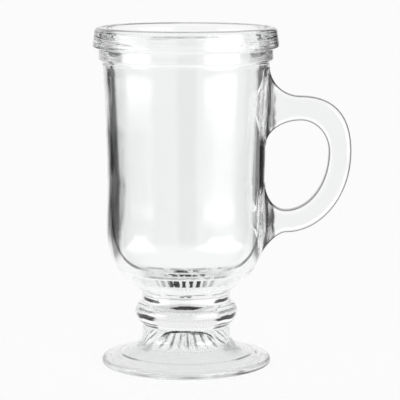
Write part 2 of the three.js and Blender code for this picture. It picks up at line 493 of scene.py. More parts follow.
def add_mesh(name: str, vertices: list[tuple[float, ...]], faces: list[tuple[int, ...]],
             skins: list[Skin]) -> bpy.types.Object:
    """Adds a smooth mesh.

    Args:
        name: Name of the object.
        vertices: Its points.
        faces: Its faces, as numbers of points.
        skins: The skin of each face.

    Returns:
        The object.
    """
    mesh = bpy.data.meshes.new(name)
    mesh.from_pydata(vertices, [], faces)
    mesh.polygons.foreach_set("material_index", [skin.value for skin in skins])
    mesh.polygons.foreach_set("use_smooth", [True] * len(faces))
    mesh.update()
    return add_object(name, mesh)


@dataclass
class Turned:
    """A part that is turned about the glass's upright axis."""

    line: GlassLine
    axis_x: float
    around: int = 288

    def swell(self, angle: float, radius: float, height: float) -> float:
        """Gives what is added to a point's radius, which is nothing on a plain part."""
        return 0.0

    def revolve(self, part: Part, profile: np.ndarray, skins: list[Skin]) -> bpy.types.Object:
        """Turns a line about the axis into a closed mesh.

        Args:
            part: Which part it is.
            profile: Points (radius, height) from the axis round to the axis.
            skins: The skin of each stretch between two points of the line.

        Returns:
            The part.
        """
        angles = [2 * math.pi * i / self.around for i in range(self.around)]
        vertices: list[tuple[float, ...]] = []
        rings: list[list[int]] = []
        for radius, height in profile:
            if radius < TINY:
                rings.append([len(vertices)] * self.around)
                vertices.append((self.axis_x, 0.0, height))
                continue
            rings.append(list(range(len(vertices), len(vertices) + self.around)))
            for angle in angles:
                r = radius + self.swell(angle, radius, height)
                vertices.append((self.axis_x + r * math.cos(angle), r * math.sin(angle), height))
        faces: list[tuple[int, ...]] = []
        face_skins: list[Skin] = []
        for low, high, skin in zip(rings, rings[1:], skins):
            for i in range(self.around):
                j = (i + 1) % self.around
                faces.append(tuple(dict.fromkeys((low[i], low[j], high[j], high[i]))))
                face_skins.append(skin)
        return add_mesh(part.piece, vertices, faces, face_skins)


@dataclass
class Foot(Turned):
    """The spreading foot, with its dish and fluted dome underneath."""

    flute_count: int = 36
    flute_depth: float = 1.9 * MM
    flute_top_depth: float = 1.3 * MM
    flute_run_out: float = 3.0 * MM

    def swell(self, angle: float, radius: float, height: float) -> float:
        """Gives how far the dome's wall stands back at a point, for the flutes.

        Args:
            angle: Angle about the axis.
            radius: Radius of the plain dome or dish there.
            height: Height there.

        Returns:
            The length to add to the radius.
        """
        line = self.line
        if height < line.dish_lip or radius > line.dome_radius + self.flute_run_out:
            return 0.0
        if radius >= line.dome_radius:
            depth = self.flute_depth * (1 - (radius - line.dome_radius) / self.flute_run_out)
        elif radius >= line.dome_top_radius:
            share = (radius - line.dome_top_radius) / (line.dome_radius - line.dome_top_radius)
            depth = self.flute_top_depth + share * (self.flute_depth - self.flute_top_depth)
        else:
            depth = self.flute_top_depth * radius / line.dome_top_radius
        return depth * abs(math.sin(angle * self.flute_count / 2))

    def build(self) -> bpy.types.Object:
        """Makes the foot's mesh.

        Returns:
            The foot.
        """
        under = thin(self.line.underside(), self.line.tolerance, self.line.longest / 2)
        outer = self.line.share(0.0, self.line.foot_height)
        profile = np.vstack([under, outer[1:], [0.0, self.line.foot_height]])
        skins = [Skin.POLISHED] * (len(profile) - 2) + [Skin.FUSED]
        return self.revolve(Part.FOOT, profile, skins)


@dataclass
class Stem(Turned):
    """The short neck with its round knop."""

    def build(self) -> bpy.types.Object:
        """Makes the stem's mesh.

        Returns:
            The stem.
        """
        low, high = self.line.foot_height, self.line.bowl_base
        profile = np.vstack([[0.0, low], self.line.share(low, high), [0.0, high]])
        skins = [Skin.FUSED] + [Skin.POLISHED] * (len(profile) - 3) + [Skin.FUSED]
        return self.revolve(Part.STEM, profile, skins)


@dataclass
class Bowl(Turned):
    """The tall thick-walled bowl, with its collar and banded rim."""

    def build(self) -> bpy.types.Object:
        """Makes the bowl's mesh, still without the handle's root.

        Returns:
            The bowl.
        """
        low = self.line.bowl_base
        profile = np.vstack([[0.0, low], self.line.share(low, math.inf)])
        skins = [Skin.FUSED] + [Skin.POLISHED] * (len(profile) - 2)
        return self.revolve(Part.BOWL, profile, skins)


@dataclass
class Handle:
    """The flat loop with rounded edges, swelling where it runs into the bowl."""

    line: GlassLine
    axis_x: float
    reach: float = 67.8 * MM
    thickness: float = 8.2 * MM
    edge_round: float = 2.0 * MM
    bar_top: float = 80.8 * MM
    bar_depth: float = 10.0 * MM
    grip_depth: float = 9.2 * MM
    grip_height: float = 57.7 * MM
    lower_bar_bottom: float = 24.5 * MM
    lower_bar_depth: float = 9.2 * MM
    upper_bend_start: float = 47.0 * MM
    lower_bend_end: float = 41.0 * MM
    upper_root_top: float = 93.1 * MM
    upper_root_bottom: float = 60.5 * MM
    lower_root_top: float = 45.5 * MM
    lower_root_bottom: float = 16.2 * MM
    root_flare: float = 3.3 * MM
    root_bite: float = 2.0 * MM
    flare_bend: int = 3
    round_bend: float = 0.552
    full_bend: float = 0.66
    span_steps: int = 28
    corner_steps: int = 6
    face_steps: int = 10
    wall: np.ndarray = field(init=False)

    def __post_init__(self) -> None:
        """Keeps the bowl's outer wall, which the handle grows out of."""
        outside = self.line.outside()
        self.wall = outside[:int(outside[:, 1].argmax())]

    def wall_radius(self, height: float) -> float:
        """Gives the bowl's outer radius at a height above the bowl's lower end."""
        return float(np.interp(height + self.line.bowl_base, self.wall[:, 1], self.wall[:, 0]))

    def trace(self, path: tuple[Point, ...], fullness: tuple[float, ...]) -> np.ndarray:
        """Draws an edge of the loop as a chain of bends.

        Args:
            path: Ends and corners of the bends by turns, from the upper root to the lower one,
                as (radius, height above the bowl's lower end).
            fullness: How far each bend is pulled towards its corner, from 0 to 1.

        Returns:
            Its points.
        """
        line = Line(*path[0])
        for corner, end, full in zip(path[1::2], path[2::2], fullness):
            a, c, b = (np.array(point) for point in (line.points[-1], corner, end))
            line.curve(tuple(a + full * (c - a)), tuple(b + full * (c - b)), end, steps=self.span_steps)
        return np.array(line.points)

    def edges(self) -> tuple[np.ndarray, np.ndarray]:
        """Draws the loop's two edges side by side.

        Returns:
            The outer edge and the inner edge, with as many points each.
        """
        bar, reach, low_bar = self.bar_top, self.reach, self.lower_bar_bottom
        inner_bar, inner_reach = bar - self.bar_depth, reach - self.grip_depth
        inner_low_bar = low_bar + self.lower_bar_depth
        root_top, loop_top, loop_bottom, web = (self.wall_radius(height) for height in (
            self.upper_root_top, self.upper_root_bottom, self.lower_root_top, self.lower_root_bottom))
        start, middle, end = self.upper_bend_start, self.grip_height, self.lower_bend_end
        even, full = self.round_bend, self.full_bend
        outer = self.trace((
            (root_top, self.upper_root_top), (root_top, bar), (start, bar), (reach, bar),
            (reach, middle), (reach, low_bar), (end, low_bar), ((web + end) / 2, low_bar),
            (web, self.lower_root_bottom)), (even, full, even, even))
        inner = self.trace((
            (loop_top, self.upper_root_bottom), (loop_top, inner_bar), (start, inner_bar),
            (inner_reach, inner_bar), (inner_reach, middle), (inner_reach, inner_low_bar),
            (end, inner_low_bar), (loop_bottom, inner_low_bar),
            (loop_bottom, self.lower_root_top)), (even, even, even, even))
        return outer, inner

    def flare(self, radius: float, height: float) -> float:
        """Gives what the handle gains in half thickness near the bowl's wall.

        Args:
            radius: Distance from the glass's axis.
            height: Height above the bowl's lower end.

        Returns:
            The extra half thickness.
        """
        away = min(max(radius - self.wall_radius(height), 0.0), self.root_flare)
        return self.root_flare - math.sqrt(self.root_flare**2 - (self.root_flare - away)**2)

    def section(self, depth: float) -> list[Point]:
        """Draws the rounded rectangle across the loop.

        Args:
            depth: The section's size in the plane of the loop.

        Returns:
            Points (place from the inner edge, side), once round.
        """
        half, edge = self.thickness / 2, self.edge_round
        ring: list[Point] = []
        corners = ((depth - edge, edge - half), (edge, edge - half), (edge, half - edge),
                   (depth - edge, half - edge))
        for quarter, (place, side) in enumerate(corners):
            for step in range(self.corner_steps + 1):
                angle = (quarter + step / self.corner_steps) * math.pi / 2
                ring.append((place + edge * math.cos(angle), side - edge * math.sin(angle)))
            if quarter % 2:
                continue
            start, side = ring[-1]
            run = (depth - 2 * edge) * (-1 if quarter == 0 else 1)
            ring += [(start + run * step / self.face_steps, side) for step in range(1, self.face_steps)]
        return ring

    def build(self) -> bpy.types.Object:
        """Makes the loop, its two ends sunk in the bowl's wall.

        Returns:
            The handle.
        """
        bite = np.array([[-self.root_bite, 0.0]])
        outer, inner = (np.vstack([edge[:1] + bite, edge, edge[-1:] + bite]) for edge in self.edges())
        vertices: list[tuple[float, ...]] = []
        for far, near in zip(outer, inner):
            depth = float(np.linalg.norm(far - near))
            along = (far - near) / depth
            for place, side in self.section(depth):
                point = near + place * along
                fade = 1 - abs(2 * place / depth - 1) ** self.flare_bend
                flare = self.flare(math.hypot(point[0], side), point[1]) * fade
                y = side * (1 + 2 * flare / self.thickness)
                vertices.append((self.axis_x + point[0], y, self.line.bowl_base + point[1]))
        size, count = len(self.section(self.bar_depth)), len(outer)
        faces: list[tuple[int, ...]] = []
        for ring in range(count - 1):
            for i in range(size):
                a, b = ring * size + i, ring * size + (i + 1) % size
                faces.append((a, b, b + size, a + size))
        faces.append(tuple(reversed(range(size))))
        faces.append(tuple(range((count - 1) * size, count * size)))
        return add_mesh(Part.HANDLE.piece, vertices, faces, [Skin.LOOP] * len(faces))


def combine(target: bpy.types.Object, tool: bpy.types.Object, work: Work) -> bpy.types.Object:
    """Joins or cuts two closed meshes, keeping which faces came from which.

    Args:
        target: The mesh that is worked on.
        tool: The mesh that it is joined to or cut by.
        work: Whether they are joined or cut.

    Returns:
        The result, as a new object.
    """
    made = add_object(work.name, target.data.copy())
    step = made.modifiers.new(work.name, "BOOLEAN")
    step.operation = work.value
    step.object = tool
    step.solver = "MANIFOLD"
    graph = bpy.context.evaluated_depsgraph_get()
    mesh = bpy.data.meshes.new_from_object(made.evaluated_get(graph))
    made.modifiers.clear()
    made.data = mesh
    return made


def without_loop(mesh: bpy.types.Mesh, seam: bool) -> bmesh.types.BMesh:
    """Takes the faces of a mesh that don't come from the handle's loop.

    Args:
        mesh: The mesh.
        seam: Whether they become a seam, with the fused skin and turned over.

    Returns:
        The faces.
    """
    work = bmesh.new()
    work.from_mesh(mesh)
    spare = [face for face in work.faces if face.material_index == Skin.LOOP.value]
    bmesh.ops.delete(work, geom=spare, context="FACES")
    for face in work.faces:
        face.smooth = True
        if seam:
            face.material_index = Skin.FUSED.value
    if seam:
        bmesh.ops.reverse_faces(work, faces=work.faces[:])
    return work


def fuse(bowl: bpy.types.Object, handle: bpy.types.Object) -> None:
    """Runs the handle into the bowl's wall, each closed over the seam by faces of the fused skin.

    Args:
        bowl: The plain bowl.
        handle: The loop, with its ends sunk in the bowl's wall.
    """
    for made in (bowl, handle):
        for skin in Skin:
            made.data.materials.append(bpy.data.materials.new(skin.name.lower()))
    joined = combine(bowl, handle, Work.JOIN)
    cut = combine(handle, bowl, Work.CUT)
    wall = without_loop(joined.data, seam=False)
    patch = without_loop(cut.data, seam=True)
    spare = bpy.data.meshes.new("patch")
    patch.to_mesh(spare)
    patch.free()
    wall.from_mesh(spare)
    bmesh.ops.remove_doubles(wall, verts=wall.verts[:], dist=WELD_REACH)
    wall.to_mesh(bowl.data)
    wall.free()
    loop = bmesh.new()
    loop.from_mesh(cut.data)
    for face in loop.faces:
        face.smooth = True
        polished = face.material_index == Skin.LOOP.value
        face.material_index = (Skin.POLISHED if polished else Skin.FUSED).value
    loop.to_mesh(handle.data)
    loop.free()
    for made in (joined, cut):
        bpy.data.objects.remove(made)
    for made in (bowl, handle):
        made.data.materials.pop(index=Skin.LOOP.value)


class Graph:
    """A short way to write a node tree."""

    def __init__(self, tree: bpy.types.NodeTree) -> None:
        """Starts with an empty tree."""
        self.tree = tree
        tree.nodes.clear()

    def node(self, kind: str, inputs: dict | None = None, **settings: object) -> bpy.types.Node:
        """Adds a node.

        Args:
            kind: The node's type, without ShaderNode in front.
            inputs: Values or output sockets by input name or number.
            settings: Properties of the node.

        Returns:
            The node.
        """
        made = self.tree.nodes.new(f"ShaderNode{kind}")
        for name, value in settings.items():
            setattr(made, name, value)
        for name, value in (inputs or {}).items():
            if isinstance(value, Socket):
                self.tree.links.new(value, made.inputs[name])
            else:
                made.inputs[name].default_value = value
        return made

    def maths(self, operation: str, *values: object) -> Socket:
        """Adds a sum, product or the like of numbers and sockets."""
        return self.node("Math", dict(enumerate(values)), operation=operation).outputs[0]

    def product(self, *values: object) -> Socket:
        """Multiplies numbers and sockets with one another."""
        return reduce(lambda first, second: self.maths("MULTIPLY", first, second), values)

    def off(self, value: Socket, at: object) -> Socket:
        """Gives how far a value is from a number or from another value."""
        return self.maths("ABSOLUTE", self.maths("SUBTRACT", value, at))

    def vector(self, operation: str, *values: object) -> bpy.types.bpy_prop_collection:
        """Adds a step of maths on vectors and gives its outputs."""
        return self.node("VectorMath", dict(enumerate(values)), operation=operation).outputs

    def parts(self, vector: Socket) -> bpy.types.bpy_prop_collection:
        """Splits a vector into its X, Y and Z."""
        return self.node("SeparateXYZ", {0: vector}).outputs

    def fit(self, value: Socket, low: float, high: float, smooth: bool = False) -> Socket:
        """Turns the stretch from low to high into 0 to 1, eased at both ends where smooth."""
        kind = "SMOOTHSTEP" if smooth else "LINEAR"
        return self.node("MapRange", {0: value, 1: low, 2: high}, interpolation_type=kind).outputs[0]

    def between(self, value: Socket, levels: Levels, smooth: bool = True) -> Socket:
        """Gives 1 from the second level to the third, and 0 before the first and past the last."""
        rise, full, fall, end = levels
        return self.product(self.fit(value, rise, full, smooth), self.fit(value, end, fall, smooth))

    def blend(self, share: Socket, first: object, second: object) -> Socket:
        """Blends two numbers: the first where the share is 0, the second where it is 1."""
        return self.node("Mix", {0: share, 2: first, 3: second}, data_type="FLOAT").outputs[0]

    def darken(self, share: Socket, tone: object) -> Socket:
        """Gives a tone where the share is 1, and plain 1 where it is 0."""
        return self.blend(share, 1.0, tone)

    def colour(self, share: object, first: object, second: object, kind: str = "MIX") -> Socket:
        """Blends two colours."""
        return self.node("Mix", {0: share, 6: first, 7: second}, data_type="RGBA", blend_type=kind).outputs[2]

    def ramp(self, value: Socket, stops: Tones) -> Socket:
        """Adds a ramp of grey tones.

        Args:
            value: What the ramp is read at.
            stops: Pairs of place and tone, in order.

        Returns:
            The tone.
        """
        made = self.node("ValToRGB", {0: value})
        elements = made.color_ramp.elements
        while len(elements) < len(stops):
            elements.new(0.5)
        for element, (place, tone) in zip(elements, stops):
            element.position = place
            element.color = grey(tone)
        return made.outputs[0]


def grey(tone: float) -> tuple[float, float, float, float]:
    """Gives the colour of a grey tone, from 0 black to 1 white."""
    return (tone, tone, tone, 1.0)


class Spot:
    """A spot on the glass as its finish reads it: its place, and how much it turns from the eye.

    Its place is measured from the middle of the glass's base. A node is made when a finish
    first asks for it.
    """

    def __init__(self, graph: Graph, place: Socket) -> None:
        """Starts with the place alone."""
        self.graph = graph
        self.place = place

    @cached_property
    def parts(self) -> bpy.types.bpy_prop_collection:
        """Its three coordinates."""
        return self.graph.parts(self.place)

    @property
    def height(self) -> Socket:
        """Its height above the table."""
        return self.parts["Z"]

    @cached_property
    def level(self) -> Socket:
        """Its level offset from the axis."""
        return self.graph.vector("MULTIPLY", self.place, (1.0, 1.0, 0.0))["Vector"]

    @cached_property
    def radius(self) -> Socket:
        """Its distance from the axis."""
        return self.graph.vector("LENGTH", self.level)["Value"]

    @cached_property
    def turn(self) -> Socket:
        """Its angle about the axis, in radians."""
        return self.graph.maths("ARCTAN2", self.parts["Y"], self.parts["X"])

    @cached_property
    def slant(self) -> Socket:
        """How much it turns from the eye about the upright axis, from 0 facing to 1 edge on."""
        outward = self.graph.vector("NORMALIZE", self.level)["Vector"]
        return self.graph.node("LayerWeight", {"Blend": 0.5, "Normal": outward}).outputs["Facing"]

    @cached_property
    def tilt(self) -> Socket:
        """How much its surface turns from the eye in all, from 0 facing to 1 edge on."""
        return self.graph.node("LayerWeight", {"Blend": 0.5}).outputs["Facing"]

    def outermost(self, tone: Socket) -> Socket:
        """Keeps the painted shade for the surface that is seen first, and leaves those behind it clear."""
        return self.graph.darken(self.graph.node("LightPath").outputs["Is Camera Ray"], tone)


@dataclass(frozen=True)
class Grain:
    """A random unevenness of the glass.

    The scale is in waves to the metre, the detail says how many finer waves ride on them, and
    the last two shrink it across and along the upright axis.
    """

    scale: float
    detail: float = 2.0
    across: float = 1.0
    along: float = 1.0

    def noise(self, graph: Graph, place: Socket) -> Socket:
        """Gives the plain noise at a place, about 0.5 on the whole.

        Args:
            graph: The node tree.
            place: The place.

        Returns:
            The noise.
        """
        if self.across != 1.0 or self.along != 1.0:
            scale = (self.across, self.across, self.along)
            place = graph.node("Mapping", {"Vector": place, "Scale": scale}).outputs[0]
        inputs = {"Vector": place, "Scale": self.scale, "Detail": self.detail}
        return graph.node("TexNoise", inputs).outputs["Fac"]


@dataclass(frozen=True)
class Sway(Grain):
    """A value that wanders from low to high with the noise."""

    low: float = 0.0
    high: float = 1.0

    def read(self, spot: Spot) -> Socket:
        """Gives the value at a spot."""
        noise = self.noise(spot.graph, spot.place)
        return spot.graph.maths("MULTIPLY_ADD", noise, self.high - self.low, self.low)


@dataclass(frozen=True)
class Breaks(Grain):
    """Where a mark is broken off: gone where the noise is low, and whole where it is high."""

    low: float = 0.0
    high: float = 1.0

    def read(self, spot: Spot) -> Socket:
        """Gives the share of the mark that is there at a spot."""
        return spot.graph.fit(self.noise(spot.graph, spot.place), self.low, self.high)


@dataclass(frozen=True)
class PaintedLens:
    """A lens-shaped mark of painted shade across the front of the knop."""

    height: float
    half: float
    reach: float
    tone: float
    core: ClassVar[float] = 0.6

    def draw(self, spot: Spot, height: Socket) -> Socket:
        """Draws the mark.

        Args:
            spot: The spot on the glass.
            height: Its height, made uneven.

        Returns:
            The share of light let through.
        """
        graph = spot.graph
        rise = graph.maths("MULTIPLY_ADD", spot.slant, self.half / self.reach, graph.off(height, self.height))
        return graph.darken(graph.fit(rise, self.half, self.core * self.half, smooth=True), self.tone)


@dataclass(frozen=True)
class PaintedShadeBand:
    """A broken grey band of painted shade round the glass, where thick glass bends the eye away from the
    light.

    It lies between two slants, the start and the reach, on surfaces past the least radius.
    """

    height: float
    half: float
    reach: float
    tone: float
    start: float = -1.0
    least_radius: float = 0.0
    core: ClassVar[float] = 0.5
    full_reach: ClassVar[float] = 0.6
    start_fade: ClassVar[float] = 0.05

    def draw(self, spot: Spot, breaks: Socket) -> Socket:
        """Draws the band.

        Args:
            spot: The spot on the glass.
            breaks: Share of the band that is there.

        Returns:
            The share of light let through.
        """
        graph = spot.graph
        there = graph.product(
            graph.fit(graph.off(spot.height, self.height), self.half, self.core * self.half, smooth=True),
            graph.fit(spot.slant, self.reach, self.full_reach * self.reach, smooth=True),
            graph.fit(spot.slant, self.start, self.start + self.start_fade, smooth=True),
            graph.maths("GREATER_THAN", spot.radius, self.least_radius), breaks)
        return graph.darken(there, self.tone)


@dataclass(frozen=True)
class ClearGlass:
    """Fire-polished clear soda glass, with the soft waviness of pressed ware.

    Thick glass darkens where it bends the eye away from the light behind it. Here that darkening
    is painted shade in the glass's colour, which each part places with its own shade. The shader
    tints the light that passes by the square root of its colour, so the shade is raised to a power first.
    """

    name: str
    axis_x: float
    line: GlassLine
    ior: float = 1.52
    body_tint: tuple[float, float, float, float] = (0.985, 0.99, 0.99, 1.0)
    shade_power: float = 2.0
    wave: Grain = Grain(60.0)
    wave_depth: float = 0.6 * MM
    wave_strength: float = 0.12
    streak: Grain = Grain(1.0, 1.0, across=420.0, along=22.0)
    streak_depth: float = 0.08 * MM
    streak_strength: float = 0.08

    def make(self) -> bpy.types.Material:
        """Makes the material.

        Returns:
            The material.
        """
        material = bpy.data.materials.new(self.name)
        material.use_nodes = True
        graph = Graph(material.node_tree)
        place = graph.node("TexCoord").outputs["Object"]
        soft = graph.node("Bump", {
            "Height": self.wave.noise(graph, place), "Strength": self.wave_strength,
            "Distance": self.wave_depth})
        fine = graph.node("Bump", {
            "Height": self.streak.noise(graph, place), "Strength": self.streak_strength,
            "Distance": self.streak_depth, "Normal": soft.outputs[0]})
        spot = Spot(graph, graph.vector("ADD", place, (-self.axis_x, 0.0, 0.0))["Vector"])
        # The painted shade darkens the glass's colour, standing in for the dark that refraction brings.
        tone = graph.maths("POWER", self.shade(spot), self.shade_power)
        shader = graph.node("BsdfPrincipled", {
            "Base Color": graph.colour(1.0, self.body_tint, tone, "MULTIPLY"), "Roughness": 0.0,
            "IOR": self.ior, "Transmission Weight": 1.0, "Normal": fine.outputs[0]})
        graph.node("OutputMaterial", {"Surface": shader.outputs[0]})
        return material

    def shade(self, spot: Spot) -> Socket:
        """Gives the painted shade at a spot: the share of light the surface lets through, from 0 to 1."""
        raise NotImplementedError


@dataclass(frozen=True)
class StemGlass(ClearGlass):
    """The knop: a clear window in front, and painted shade in slanting dark streaks on either side of it.

    The tones are given by height, in millimetres.
    """

    # Painted shade of the knop, by height: beside the window and across it.
    side_shade_tones: Tones = (
        (17.0, 0.05), (18.0, 0.1), (18.2, 0.8), (18.5, 0.8), (18.7, 0.15), (19.0, 0.15), (19.3, 1.0),
        (20.4, 1.0), (20.7, 0.03), (22.3, 0.05), (22.7, 1.0), (23.6, 0.8), (23.9, 0.4), (24.4, 0.5),
        (24.8, 1.0), (25.4, 1.0), (25.7, 0.7), (26.1, 1.0), (27.4, 1.0), (27.7, 0.03), (28.8, 0.03),
        (29.0, 1.0), (29.4, 0.9), (29.6, 0.3), (29.8, 0.9), (30.6, 1.0))
    front_shade_tones: Tones = (
        (17.0, 0.9), (18.0, 0.95), (19.0, 0.86), (24.9, 0.88), (25.1, 0.7), (25.3, 0.95), (29.5, 0.97),
        (29.8, 0.6), (30.1, 0.6), (30.3, 0.9), (30.6, 0.9))
    window: Point = (0.2, 0.28)
    edge: Point = (0.6, 0.8)
    edge_tone: float = 0.9
    lens: PaintedLens = PaintedLens(26.5 * MM, 1.1 * MM, 0.11, 0.03)
    veil: PaintedLens = PaintedLens(26.5 * MM, 2.2 * MM, 0.34, 0.72)
    ripple: Sway = Sway(190.0, 3.0, low=-0.6 * MM, high=0.6 * MM)
    rag: Sway = Sway(420.0, across=0.4, along=1.6, low=-0.12, high=0.12)

    def shade(self, spot: Spot) -> Socket:
        """Gives the painted shade: dark rings beside the window, lines across it.

        Args:
            spot: The spot on the glass.

        Returns:
            The share.
        """
        graph = spot.graph
        uneven = graph.maths("ADD", spot.height, self.ripple.read(spot))
        ragged = graph.maths("ADD", spot.slant, self.rag.read(spot))
        side = self._by_height(graph, uneven, self.side_shade_tones)
        front = graph.product(self._by_height(graph, spot.height, self.front_shade_tones),
                              graph.product(self.lens.draw(spot, uneven), self.veil.draw(spot, uneven)))
        inner = graph.blend(graph.fit(ragged, *self.window, smooth=True), front, side)
        return spot.outermost(graph.blend(graph.fit(ragged, *self.edge, smooth=True), inner, self.edge_tone))

    def _by_height(self, graph: Graph, height: Socket, tones: Tones) -> Socket:
        """Gives the tone at a height of the stem.

        Args:
            graph: The node tree.
            height: The height.
            tones: Heights in millimetres and their tones.

        Returns:
            The tone.
        """
        low, high = self.line.foot_height, self.line.bowl_base
        stops = tuple(((level * MM - low) / (high - low), tone) for level, tone in tones)
        return graph.ramp(graph.fit(height, low, high), stops)


@dataclass(frozen=True)
class BowlGlass(ClearGlass):
    """The bowl, in painted shade: a dark wavering band down the left, a short streak on the right, a ringed
    floor.

    The tones are given by slant. The levels are shares of the bowl's height.
    """

    wave_strength: float = 0.08
    side_blend: float = 5.0 * MM
    waver: Sway = Sway(150.0, 3.0, along=0.3, low=-0.1, high=0.1)

    # Painted shade of the left band, by slant, high, middle and low on the bowl.
    high_tones: Tones = (
        (0.0, 1.0), (0.42, 1.0), (0.5, 0.75), (0.57, 0.5), (0.61, 0.15), (0.65, 0.05), (0.69, 0.6),
        (0.9, 0.95))
    mid_tones: Tones = (
        (0.0, 1.0), (0.4, 0.95), (0.47, 0.6), (0.51, 0.1), (0.6, 0.04), (0.74, 0.05), (0.78, 0.4),
        (0.84, 0.9))
    low_tones: Tones = (
        (0.0, 1.0), (0.38, 0.95), (0.42, 0.4), (0.5, 0.34), (0.56, 0.28), (0.7, 0.16), (0.75, 0.12),
        (0.79, 0.5), (0.84, 0.9))
    mid_levels: Levels = (0.42, 0.48, 0.58, 0.66)
    band_foot: Point = (50.0 * MM, 60.0 * MM)
    band_top: Point = (128.0 * MM, 118.0 * MM)
    patches: Breaks = Breaks(260.0, along=0.3, low=0.4, high=0.65)
    patch_share: float = 0.35

    # Painted shade of the faint right band and of its short dark streak, by slant.
    right_tones: Tones = (
        (0.0, 1.0), (0.46, 1.0), (0.56, 0.85), (0.68, 0.6), (0.78, 0.55), (0.86, 0.85), (1.0, 0.95))
    streak_tones: Tones = (
        (0.0, 1.0), (0.6, 1.0), (0.63, 0.04), (0.74, 0.02), (0.8, 0.08), (0.83, 0.7), (1.0, 0.9))
    streak_levels: Levels = (0.385, 0.42, 0.55, 0.62)
    streak_waver: float = 0.4
    fibres: Breaks = Breaks(500.0, along=0.12, low=0.4, high=0.6)

    # The outline of the hollow's floor, in painted shade.
    contour_low: float = 43.4 * MM
    contour_rise: float = 115.0 * MM
    contour_bend: float = 4.0
    contour_half: float = 0.8 * MM
    contour_core: float = 0.3
    contour_spread: float = 16.0
    contour_spread_bend: float = 3.0
    contour_slants: Levels = (0.12, 0.3, 0.62, 0.75)
    contour_breaks: Point = (-0.06, 0.0)
    contour_tone: float = 0.25

    # The upright bars, in painted shade.
    bar_foot: float = 35.9 * MM
    bar_top: float = 39.3 * MM
    bar_slant: tuple[float, float, float] = (0.045, 0.06, 0.14)
    bar_tones: Point = (0.6, 0.02)
    bar_full: float = 0.8
    bar_count: int = 58
    bar_edge: Point = (-0.1, 0.25)
    bar_jitter: Sway = Sway(330.0, 1.0, along=0.1, low=-0.8, high=1.6)

    # Broken bands of painted shade, fine ones and soft ones.
    fine_bands: tuple[PaintedShadeBand, ...] = (
        PaintedShadeBand(43.6 * MM, 0.7 * MM, 0.035, 0.05),
        PaintedShadeBand(41.8 * MM, 0.7 * MM, 0.075, 0.05),
        PaintedShadeBand(44.6 * MM, 0.5 * MM, 0.2, 0.6),
        PaintedShadeBand(40.2 * MM, 0.6 * MM, 0.25, 0.6),
        PaintedShadeBand(31.0 * MM, 0.5 * MM, 0.035, 0.1),
        PaintedShadeBand(31.7 * MM, 0.35 * MM, 0.14, 0.3))
    soft_bands: tuple[PaintedShadeBand, ...] = (
        PaintedShadeBand(42.4 * MM, 3.4 * MM, 0.3, 0.75),
        PaintedShadeBand(37.4 * MM, 2.4 * MM, 0.4, 0.84),
        PaintedShadeBand(137.4 * MM, 0.5 * MM, 0.1, 0.6, least_radius=37.0 * MM),
        PaintedShadeBand(31.3 * MM, 0.5 * MM, 0.95, 0.25, 0.18),
        PaintedShadeBand(32.6 * MM, 0.5 * MM, 0.9, 0.4, 0.3),
        PaintedShadeBand(135.4 * MM, 5.0 * MM, 1.2, 0.6, 0.36, 36.0 * MM),
        PaintedShadeBand(131.5 * MM, 1.0 * MM, 1.2, 0.5, 0.3, 35.0 * MM),
        PaintedShadeBand(128.6 * MM, 2.6 * MM, 1.2, 0.6, 0.3, 33.0 * MM))
    beads: Breaks = Breaks(480.0, low=0.38, high=0.5)
    cloud: Breaks = Breaks(140.0, 3.0, low=0.2, high=0.6)

    # A broken band of painted shade along the top of the lip.
    lip: Point = (138.95 * MM, 139.15 * MM)
    lip_breaks: Breaks = Breaks(30.0, 1.0, low=0.3, high=0.6)
    lip_tone: float = 0.35

    # Radii of the beaded dark rings of painted shade on the bowl's floor.
    painted_ring_radii: tuple[float, ...] = (11.0 * MM, 14.5 * MM)
    ring_half: float = 0.4 * MM
    ring_core: float = 0.5
    painted_ring_tone: float = 0.15
    ring_breaks: Breaks = Breaks(200.0, low=0.4, high=0.55)
    bead_count: int = 72

    def shade(self, spot: Spot) -> Socket:
        """Gives the painted shade: little light let through in the bands, all of it elsewhere.

        Args:
            spot: The spot on the glass.

        Returns:
            The share.
        """
        graph = spot.graph
        waver = self.waver.read(spot)
        sides = (side(spot, waver) for side in (self._left, self._right))
        band = graph.blend(graph.fit(spot.parts["X"], -self.side_blend, self.side_blend), *sides)
        marks = [graph.darken(graph.fit(spot.height, *self.band_foot, smooth=True), band),
                 self._contour(spot, waver), self._bars(spot)]
        # Broken bands of painted shade, fine ones and soft ones.
        for bands, breaks in ((self.fine_bands, self.beads), (self.soft_bands, self.cloud)):
            there = breaks.read(spot)
            marks += [each.draw(spot, there) for each in bands]
        # A broken band of painted shade along the top of the lip.
        lip = graph.product(graph.fit(spot.height, *self.lip), self.lip_breaks.read(spot))
        marks.append(graph.darken(lip, self.lip_tone))
        return graph.product(spot.outermost(graph.product(*marks)), self._painted_floor_rings(spot))

    def _level(self, spot: Spot) -> Socket:
        """Gives a spot's height as a share of the bowl's."""
        return spot.graph.fit(spot.height, self.line.bowl_base, self.line.top)

    def _left(self, spot: Spot, waver: Socket) -> Socket:
        """Draws the painted shade of the dark wavering band down the left.

        Args:
            spot: The spot on the glass.
            waver: How far the band strays there.

        Returns:
            The share of light let through.
        """
        graph, level = spot.graph, self._level(spot)
        slant = graph.maths("ADD", spot.slant, waver)
        low, mid, high = (graph.ramp(slant, tones) for tones in (
            self.low_tones, self.mid_tones, self.high_tones))
        ends = graph.blend(graph.fit(level, *self.mid_levels[2:], smooth=True), low, high)
        band = graph.blend(graph.between(level, self.mid_levels), ends, mid)
        band = graph.blend(graph.product(self.patches.read(spot), self.patch_share), band, 1.0)
        return graph.darken(graph.fit(spot.height, *self.band_top, smooth=True), band)

